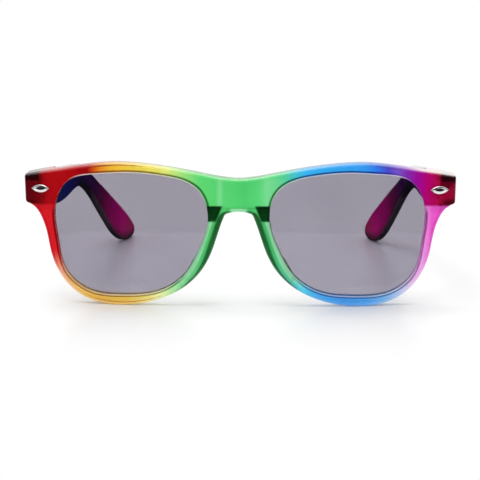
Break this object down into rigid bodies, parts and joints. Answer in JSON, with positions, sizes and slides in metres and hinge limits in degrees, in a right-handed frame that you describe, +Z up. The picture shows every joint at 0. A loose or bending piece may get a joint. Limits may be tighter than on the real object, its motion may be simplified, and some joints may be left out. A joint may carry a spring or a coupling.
{
  "type": "diffraction glasses",
  "caption": "Folding plastic-framed glasses with tinted lenses backed by thin diffraction grating films, for looking at light sources and seeing their colours spread.",
  "frame": {"origin": "bottom centre of the bounding box: the surface that the open glasses stand on, midway between the sides and between the bridge and the temple tips", "axes": "+Z up from the surface, +X to the wearer's left, -Y the way the lenses face, +Y back towards the temple tips"},
  "size_m": [0.145, 0.1462, 0.0493],
  "materials": {
    "front_plastic": "polished transparent moulding, tinted from red through yellow, green and blue to violet across the width",
    "temple_plastic": "polished transparent moulding, tinted from green-grey at the hinge through violet to crimson at the tip",
    "lens_tint": "clear, evenly tinted grey, polished",
    "grating_film": "clear embossed film",
    "stud_metal": "polished plating",
    "hinge_metal": "stamped and tumbled nickel silver",
    "screw_metal": "turned stainless steel"
  },
  "bodies": {
    "front": {"front_frame": "front_plastic", "left_lens": "lens_tint", "left_grating_film": "grating_film", "left_end_stud": "stud_metal", "left_front_hinge_leaf": "hinge_metal", "left_hinge_screw": "screw_metal", "right_lens": "lens_tint", "right_grating_film": "grating_film", "right_end_stud": "stud_metal", "right_front_hinge_leaf": "hinge_metal", "right_hinge_screw": "screw_metal"},
    "left_side_arm": {"left_temple": "temple_plastic", "left_temple_hinge_leaf": "hinge_metal"},
    "right_side_arm": {"right_temple": "temple_plastic", "right_temple_hinge_leaf": "hinge_metal"}
  },
  "joints": [
    {"name": "left_temple_hinge", "type": "hinge", "parent": "front", "child": "left_side_arm", "pos_m": [0.0666, -0.05987, 0.0393], "axis": [0, -0.0725, 0.9974], "range_deg": [0, 85]},
    {"name": "right_temple_hinge", "type": "hinge", "parent": "front", "child": "right_side_arm", "pos_m": [-0.0666, -0.05987, 0.0393], "axis": [0, 0.0725, -0.9974], "range_deg": [0, 70]}
  ]
}
